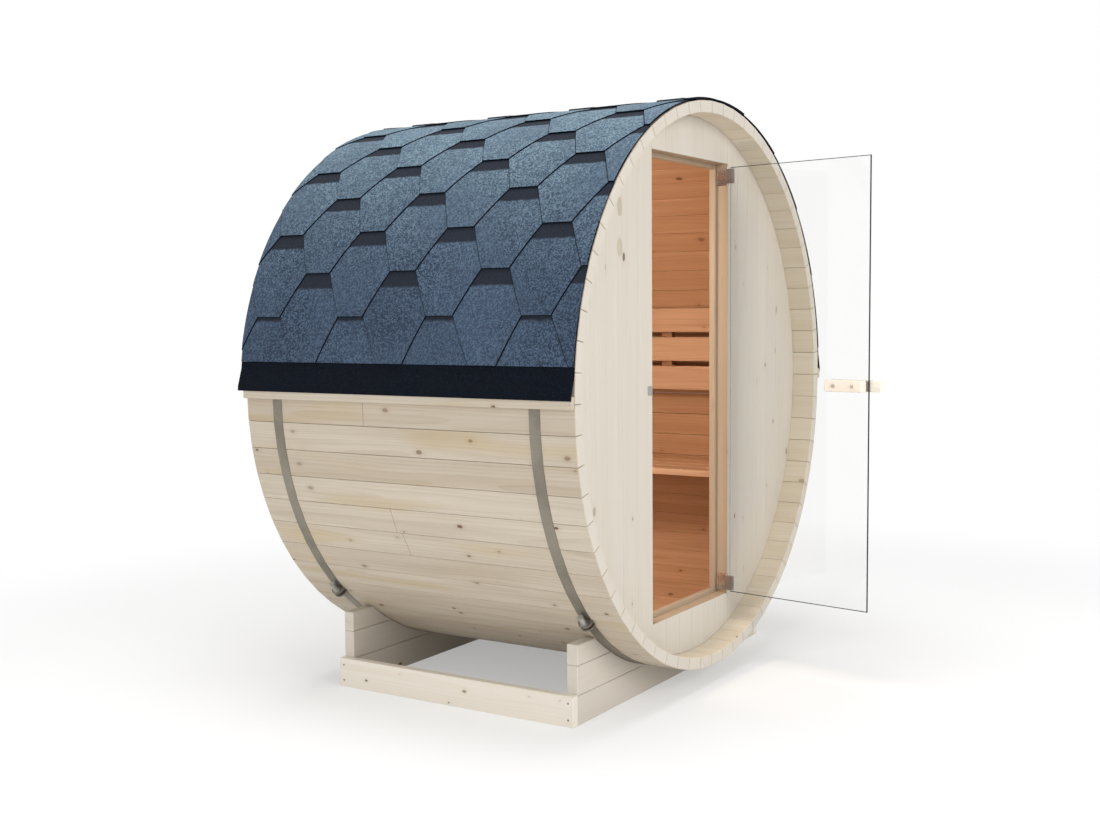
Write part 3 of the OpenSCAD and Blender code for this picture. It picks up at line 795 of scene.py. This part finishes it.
def make_cradles():
    """Planks cut to the barrel: a whole one below, and one at each side on the two upper levels."""
    mesh = Mesh(PALE)
    nodes = []
    for end in ("front", "rear"):
        for level in ("lower", "middle", "upper"):
            node = f"{end}_cradle_{level}"
            nodes.append(node)
            low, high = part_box(node)
            if level != "upper":
                high.z -= PLANK_JOINT
            if level == "lower":
                reach = arc_x(high.z)
                columns = steps_between(reach, -reach, LOWER_STEPS)
                arc = [(x, AXIS_Z - chord(x, CRADLE_R)) for x in columns]
                outline = [(low.x, low.z), (high.x, low.z), (high.x, high.z)] + arc + [(low.x, high.z)]
                mesh.prism(outline, (low.y, high.y), upright, A, PLANK_EDGE)
                continue
            arc = [(arc_x(z), z) for z in steps_between(high.z, low.z, SIDE_STEPS)]
            right = [(high.x, low.z), (high.x, high.z)] + arc
            left = [(-x, z) for x, z in reversed(right)]
            for outline in (right, left):
                mesh.prism(outline, (low.y, high.y), upright, A, PLANK_EDGE)
    mesh.build("cradle_planks", replaces=nodes)


NAIL_R = 3.2 * MM
NAIL_EDGE = 22 * MM
NAIL_END = 0.8 * NAIL_EDGE


def make_side_boards():
    """Long boards at the cradle's sides, and the nails that hold them."""
    mesh = Mesh(BOARD)
    nails = Mesh(NAIL_STEEL)
    nodes = ("left_side_board", "right_side_board")
    for node in nodes:
        low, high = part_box(node)
        mesh.board(low, high, Y)
        outside = low.x if low.x < 0 else high.x
        for y in (low.y + NAIL_END, high.y - NAIL_END):
            for z in (low.z + NAIL_EDGE, high.z - NAIL_EDGE):
                nails.screw((outside, y, z), (math.copysign(1, outside), 0, 0), NAIL_R)
    mesh.build("base_side_boards", replaces=nodes)
    nails.build("base_nails")


def make_battens():
    """Battens under the eaves."""
    mesh = Mesh(SPRUCE)
    nodes = ("left_eave_batten", "right_eave_batten")
    for node in nodes:
        low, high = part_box(node)
        mesh.board(low, high, Y)
    mesh.build("eave_battens", replaces=nodes)


class Sheet:
    """Flat pattern of a shingle course, in runs along the roof and heights up it."""

    def __init__(self):
        self.points = []
        self.index = {}
        self.faces = []

    def point(self, run, height):
        """Number of a point, which faces share."""
        key = (round(run, 5), round(height, 5))
        if key not in self.index:
            self.index[key] = len(self.points)
            self.points.append(key)
        return self.index[key]

    def quad(self, a, b, c, d):
        """Face of four points, or of three where two fall together."""
        corners = [self.point(*p) for p in (a, b, c, d)]
        if len(set(corners)) > 2:
            self.faces.append(list(dict.fromkeys(corners)))

    def rim(self):
        """Edges that belong to one face only."""
        seen = {}
        for face in self.faces:
            for i, start in enumerate(face):
                end = face[(i + 1) % len(face)]
                key = (min(start, end), max(start, end))
                seen[key] = None if key in seen else (start, end)
        return [edge for edge in seen.values() if edge]

    def flare(self):
        """How far each point moves along the roof from the top face to the underside of a tab. The underside
        spreads past the top on the slanting edges, so its dark bitumen shows as a line there: partly the cut
        edge, partly painted shadow.
        """
        moves = [0.0] * len(self.points)
        for start, end in self.rim():
            climb = self.points[end][1] - self.points[start][1]
            for i in (start, end):
                if climb and ROOF_Y0 < self.points[i][0] < ROOF_Y1:
                    moves[i] = math.copysign(TAB_EDGE_SHADOW, climb)
        return moves


def on_roof(run):
    """A run kept between the roof's ends."""
    return min(max(run, ROOF_Y0), ROOF_Y1)


def hexagon_course(row, low=0.0, high=2 * COURSE):
    """One course: tabs up to the height of a course, then an uncut strip of the same height."""
    sheet = Sheet()
    shift = TAB_START if row % 2 == 0 else TAB_START - TAB_PITCH / 2
    first = math.floor((ROOF_Y0 - shift) / TAB_PITCH) - 1
    last = math.ceil((ROOF_Y1 - shift) / TAB_PITCH) + 1
    centres = [shift + k * TAB_PITCH for k in range(first, last + 1)]
    if low < COURSE:
        heights = steps_between(low, min(COURSE, high), COURSE_STEPS)
        for centre in centres:
            for h0, h1 in pairwise(heights):
                w0, w1 = (TAB_FOOT + (TAB_TOP - TAB_FOOT) * h / COURSE for h in (h0, h1))
                left0, right0 = on_roof(centre - w0 / 2), on_roof(centre + w0 / 2)
                left1, right1 = on_roof(centre - w1 / 2), on_roof(centre + w1 / 2)
                if right1 - left1 > TAB_LEAST:
                    sheet.quad((left0, h0), (right0, h0), (right1, h1), (left1, h1))
    if high > COURSE:
        heights = steps_between(max(low, COURSE), high, COURSE_STEPS)
        runs = {on_roof(c + side * TAB_TOP / 2) for c in centres for side in (-1, 1)} | {ROOF_Y0, ROOF_Y1}
        runs = sorted(runs)
        for r0, r1 in pairwise(runs):
            for h0, h1 in pairwise(heights):
                sheet.quad((r0, h0), (r1, h0), (r1, h1), (r0, h1))
    return sheet


def lay(mesh, sheet, arc, side, radius, thickness=SHEET_T, fall=SHEET_T / COURSE, unprinted=0.0):
    """Folds a flat course round the roof, its lower edge at arc, from radius downwards by fall.

    unprinted is the height of the printed band that the course lacks.
    """
    granules, bitumen = range(2)
    first = len(mesh.points)
    count = len(sheet.points)
    # The underside layer spreads past the top face on the slanting edges: painted shadow in dark bitumen
    # beside each tab
    moves = sheet.flare()
    for layer in (0, 1):
        for (run, height), move in zip(sheet.points, moves):
            run = on_roof(run + layer * move)
            r = radius - fall * height - layer * thickness
            angle = (arc + height) / ROOF_R
            mesh.points.append(Vector((side * r * math.cos(angle), run, AXIS_Z + r * math.sin(angle))))
            mesh.roof.append((run, height - unprinted, angle))
            mesh.grain.append((0, 0, 0))
            mesh.tone.append(math.sin(run * TONE_RUN + arc * TONE_ARC) * 0.5 + 0.5)
    for face in sheet.faces:
        mesh.face(tuple(first + i for i in face), granules)
        mesh.face(tuple(first + count + i for i in reversed(face)), bitumen)
    for start, end in sheet.rim():
        mesh.face((first + start, first + count + start, first + count + end, first + end), bitumen)


def make_roof():
    """Hexagonal shingle courses on both sides, and the row that wraps the ridge."""
    crest = ROOF_R * math.pi / 2
    for side, node in ((-1, "left_roof_shingles"), (1, "right_roof_shingles")):
        mesh = Mesh(SHINGLE, TAR)
        first = hexagon_course(-1, low=COURSE)
        lay(mesh, first, FIRST_COURSE - COURSE, side, ROOF_R + BUTT_T - FIRST_SUNK, unprinted=FIRST_UNPRINTED)
        for row in range(COURSE_COUNT):
            arc = FIRST_COURSE + row * COURSE
            top = min(2 * COURSE, crest - arc)
            lay(mesh, hexagon_course(row, high=top), arc, side, ROOF_R + BUTT_T)
        mesh.build(f"{node}_courses", replaces=(node,))
    ridge = Mesh(SHINGLE, TAR)
    arc = FIRST_COURSE + (COURSE_COUNT - 1) * COURSE
    reach = 2 * (crest - arc)
    cap = hexagon_course(COURSE_COUNT - 1, high=reach)
    lay(ridge, cap, arc, -1, ROOF_R + BUTT_T + RIDGE_T, RIDGE_T - RIDGE_GAP, fall=0.0)
    ridge.build("ridge_row", replaces=("ridge_shingles",))


def on_door(a, b, c):
    """Point of the shut door (distance from the hinge line, depth inwards, height) where it stands."""
    turned = Matrix.Rotation(DOOR_OPEN, 3, "Z") @ Vector((-a, b, 0))
    return Vector((HINGE.x + turned.x, HINGE.y + turned.y, c))


def make_door():
    """Glass pane and the two handle bars on it."""
    low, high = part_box("glass_leaf")
    clear, ground = range(2)
    pane = Mesh(GLASS, GLASS_RIM)

    def rim(point, _span):
        return clear if point.x < GLASS_NEAR + MM else ground

    outline = rectangle((GLASS_NEAR, low.z), (GLASS_FAR, high.z))
    faces = (-GLASS_T / 2, GLASS_T / 2)
    pane.prism(outline, faces, lambda a, b, c: on_door(a, c, b), A, edge=PANE_ARRIS, slot=rim)
    pane.build("glass_pane", "door", ("glass_leaf",))
    bars = (
        ("inner_handle", HANDLE_IN_TO, GLASS_T / 2, GLASS_T / 2 + HANDLE_IN_T),
        ("outer_handle", HANDLE_OUT_TO, -GLASS_T / 2 - HANDLE_OUT_T, -GLASS_T / 2),
    )
    for node, reach, y0, y1 in bars:
        bar = Mesh(HANDLE)
        low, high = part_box(node)
        outline = rounded(rectangle((y0, low.z), (y1, high.z)), HANDLE_ROUND, HANDLE_STEPS)
        ends = (HANDLE_FROM, reach)
        bar.prism(outline, ends, lambda a, b, c: on_door(c, a, b), C, edge=HANDLE_END)
        bar.build(f"{node}_bar", "door", (node,))


BENCH_SLATS = 4
SLAT_GAP = 13 * MM
BACK_BOARDS = 3
BACK_GAP = 20 * MM
CLEAT_W = 45 * MM
BEARER_T = 38 * MM
BENCH_ROUND = 4 * MM
BEARER_STEPS, CLEAT_STEPS = 6, 10


def make_bench():
    """Slats on two bearers, and a backrest of boards on cleats."""
    slats = Mesh(BENCH)
    screws = Mesh(BRIGHT_STEEL)
    low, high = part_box("bench_slats")
    width = (high.x - low.x - SLAT_GAP * (BENCH_SLATS - 1)) / BENCH_SLATS
    for i in range(BENCH_SLATS):
        x = low.x + i * (width + SLAT_GAP)
        slats.board((x, low.y, low.z), (x + width, high.y, high.z), Y, BENCH_ROUND)
        for y in (low.y + BEARER_T / 2, high.y - BEARER_T / 2):
            screws.screw((x + width / 2, y, high.z), (0, 0, 1))
    slats.build("bench_top", replaces=("bench_slats",))
    # Bearers and cleats in the cabin's wood, partly painted warm lamp light and shade
    bearers = Mesh(CABIN_WARM_LIT)
    low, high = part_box("bench_bearers")
    arc = [(chord(AXIS_Z - z, WALL_R), z) for z in steps_between(low.z, high.z, BEARER_STEPS)]
    outline = [(low.x, low.z)] + arc + [(low.x, high.z)]
    for y in (low.y, high.y - BEARER_T):
        bearers.prism(outline, (y, y + BEARER_T), upright, A)
    bearers.build("bench_supports", replaces=("bench_bearers",))
    rest = Mesh(BENCH)
    low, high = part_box("backrest_boards")
    tall = (high.z - low.z - BACK_GAP * (BACK_BOARDS - 1)) / BACK_BOARDS
    cleat_places = [low.y + CLEAT_W / 2, (low.y + high.y) / 2, high.y - CLEAT_W / 2]
    for i in range(BACK_BOARDS):
        z = low.z + i * (tall + BACK_GAP)
        rest.board((low.x, low.y, z), (high.x, high.y, z + tall), Y, BENCH_ROUND)
    rest.build("backrest", replaces=("backrest_boards",))
    cleats = Mesh(CABIN_WARM_LIT)
    low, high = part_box("backrest_cleats")
    arc = [(chord(z - AXIS_Z, WALL_R), z) for z in steps_between(low.z, high.z, CLEAT_STEPS)]
    outline = [(low.x, low.z)] + arc + [(low.x, high.z)]
    for y in cleat_places:
        cleats.prism(outline, (y - CLEAT_W / 2, y + CLEAT_W / 2), upright, B)
        for i in range(BACK_BOARDS - 1):
            z = low.z + (i + 1) * tall + (i + 0.5) * BACK_GAP
            screws.screw((low.x, y, z), (-1, 0, 0))
    cleats.build("backrest_supports", replaces=("backrest_cleats",))
    screws.build("bench_screws")


def dress(nodes, material):
    """Gives carried-over solids their finish."""
    for name in nodes:
        data = frame["nodes"][name].data
        data.materials.clear()
        data.materials.append(material)


SCREW_SHARES = (0.25, 0.75)
HINGE_SCREW_INS = (14 * MM, 30 * MM)
HINGE_PLATE_T = 3 * MM
HINGE_SCREW_R, CATCH_SCREW_R = 3.5 * MM, 3 * MM


def make_metal():
    """Finishes of the metal fittings and starter strips, and the screws of hinges and catch."""
    dress(("front_band", "rear_band", "band_lugs"), BAND_STEEL)
    dress(("upper_hinge_plate", "lower_hinge_plate"), POLISHED_STEEL)
    dress(("band_bolts", "upper_hinge_clamp", "lower_hinge_clamp", "door_catch"), BRIGHT_STEEL)
    dress(("handle_bolts",), ZINC)
    dress(("left_starter_strip", "right_starter_strip"), TAR)
    screws = Mesh(BRIGHT_STEEL)
    for node in ("upper_hinge_plate", "lower_hinge_plate"):
        low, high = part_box(node)
        for share in SCREW_SHARES:
            for inwards in HINGE_SCREW_INS:
                at = (DOOR_X1 - HINGE_PLATE_T, FRONT_Y + inwards, low.z + (high.z - low.z) * share)
                screws.screw(at, (-1, 0, 0), HINGE_SCREW_R)
    low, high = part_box("door_catch")
    for share in SCREW_SHARES:
        at = ((low.x + high.x) / 2, low.y, low.z + (high.z - low.z) * share)
        screws.screw(at, (0, -1, 0), CATCH_SCREW_R)
    screws.build("fitting_screws")


FLOOR_SIZE = 60.0
FLOOR_COLOUR = (0.93, 0.93, 0.93, 1)
FLOOR_FADE = (1.9, 3.6)
FLOOR_GLOW = 0.35
WORLD_LIGHT = 0.55


def seen(tree):
    """1 for what the camera, mirrors and glass see, 0 for light on the object."""
    rays = new_node(tree, "ShaderNodeLightPath").outputs
    either = {0: rays["Is Camera Ray"], 1: rays["Is Glossy Ray"]}
    total = new_node(tree, "ShaderNodeMath", either, operation="MAXIMUM").outputs[0]
    either = {0: total, 1: rays["Is Transmission Ray"]}
    return new_node(tree, "ShaderNodeMath", either, operation="MAXIMUM").outputs[0]


def floor_material():
    """Pale floor that keeps the shadow and fades to white away from the object."""
    material = bpy.data.materials.new("floor")
    material.use_nodes = True
    tree = material.node_tree
    tree.nodes.clear()
    diffuse = new_node(tree, "ShaderNodeBsdfDiffuse", {"Color": FLOOR_COLOUR})
    glow = new_node(tree, "ShaderNodeEmission", {"Strength": 1.0})
    place = new_node(tree, "ShaderNodeTexCoord").outputs["Object"]
    away = new_node(tree, "ShaderNodeVectorMath", {0: place}, operation="LENGTH").outputs["Value"]
    limits = {"Value": away, "From Min": FLOOR_FADE[0], "From Max": FLOOR_FADE[1], "To Min": FLOOR_GLOW}
    fade = new_node(tree, "ShaderNodeMapRange", limits, interpolation_type="SMOOTHSTEP").outputs[0]
    both = {0: fade, 1: seen(tree)}
    share = new_node(tree, "ShaderNodeMath", both, operation="MULTIPLY").outputs[0]
    layers = {0: share, 1: diffuse.outputs[0], 2: glow.outputs[0]}
    mix = new_node(tree, "ShaderNodeMixShader", layers)
    new_node(tree, "ShaderNodeOutputMaterial", {0: mix.outputs[0]})
    return material


def make_stage():
    """Floor, and a white surround that lights the object more softly than it looks."""
    data = bpy.data.meshes.new("floor")
    half = FLOOR_SIZE / 2
    corners = [(x, y, 0) for x, y in rectangle((-half, -half), (half, half))]
    data.from_pydata(corners, [], [(0, 1, 2, 3)])
    data.materials.append(floor_material())
    floor = bpy.data.objects.new("floor", data)
    bpy.context.scene.collection.objects.link(floor)
    floor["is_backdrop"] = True

    world = bpy.data.worlds.new("surround")
    bpy.context.scene.world = world
    world.use_nodes = True
    tree = world.node_tree
    limits = {"Value": seen(tree), "To Min": WORLD_LIGHT, "To Max": 1.0}
    level = new_node(tree, "ShaderNodeMapRange", limits)
    background = tree.nodes["Background"]
    feed(tree, background.inputs["Color"], (1, 1, 1, 1))
    feed(tree, background.inputs["Strength"], level.outputs[0])


WHITE = (1, 1, 1)
WARM, WARMER = (1.0, 0.87, 0.74), (1.0, 0.87, 0.72)
BARREL_MIDDLE = (0, (RIM_Y + REAR_Y) / 2, AXIS_Z)

# Name, place, aim, width, power and tint of each lamp
LAMPS = (
    ("front_light", (-1.6, -5.5, 3.0), BARREL_MIDDLE, 3.5, 165, WHITE),
    ("top_light", (-0.5, 0.4, 6.0), BARREL_MIDDLE, 4.0, 170, WHITE),
    ("left_light", (-5.5, 0.6, 1.3), (0, 0.4, 0.3), 3.0, 62, WHITE),
    ("cabin_light", (-0.35, 0.35, 1.55), (0.6, 0.45, 0.9), 0.35, 6.5, WARMER),
    ("low_cabin_light", (-0.5, 0.3, 0.7), (0.6, 0.45, 0.3), 0.4, 3.2, WARM),
)


def make_lights():
    """Soft round lamps that the camera, metal and glass don't see."""
    for name, at, aim, width, power, tint in LAMPS:
        data = bpy.data.lights.new(name, "AREA")
        data.shape = "DISK"
        data.size = width
        data.energy = power
        data.color = tint
        lamp = bpy.data.objects.new(name, data)
        lamp.location = at
        lamp.rotation_mode = "QUATERNION"
        lamp.rotation_quaternion = (Vector(aim) - Vector(at)).to_track_quat("-Z", "Y")
        lamp.visible_camera = False
        lamp.visible_glossy = False
        lamp.visible_transmission = False
        bpy.context.scene.collection.objects.link(lamp)


def make_camera():
    """Camera at the photograph's place, looking along its yaw and pitch and turned by its roll."""
    ahead = Vector((
        math.cos(CAMERA_YAW) * math.cos(CAMERA_PITCH),
        math.sin(CAMERA_YAW) * math.cos(CAMERA_PITCH),
        math.sin(CAMERA_PITCH),
    ))
    level = Vector((math.sin(CAMERA_YAW), -math.cos(CAMERA_YAW), 0))
    up = level.cross(ahead)
    right = level * math.cos(CAMERA_ROLL) + up * math.sin(CAMERA_ROLL)
    top = up * math.cos(CAMERA_ROLL) - level * math.sin(CAMERA_ROLL)
    data = bpy.data.cameras.new("camera")
    data.sensor_width = CAMERA_SENSOR
    data.lens = CAMERA_LENS
    data.shift_x, data.shift_y = CAMERA_SHIFT
    camera = bpy.data.objects.new("camera", data)
    camera.matrix_world = Matrix((right, top, -ahead)).transposed().to_4x4()
    camera.location = CAMERA_AT
    bpy.context.scene.collection.objects.link(camera)
    bpy.context.scene.camera = camera


make_staves()
make_walls()
make_casing()
make_cradles()
make_side_boards()
make_battens()
make_roof()
make_door()
make_bench()
make_metal()
make_stage()
make_lights()
make_camera()
bpy.context.scene.view_settings.view_transform = "Standard"

boxes = {"cad": CAD_BOX, "visual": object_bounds()}
{name: [list(corner) for corner in box] for name, box in boxes.items()}
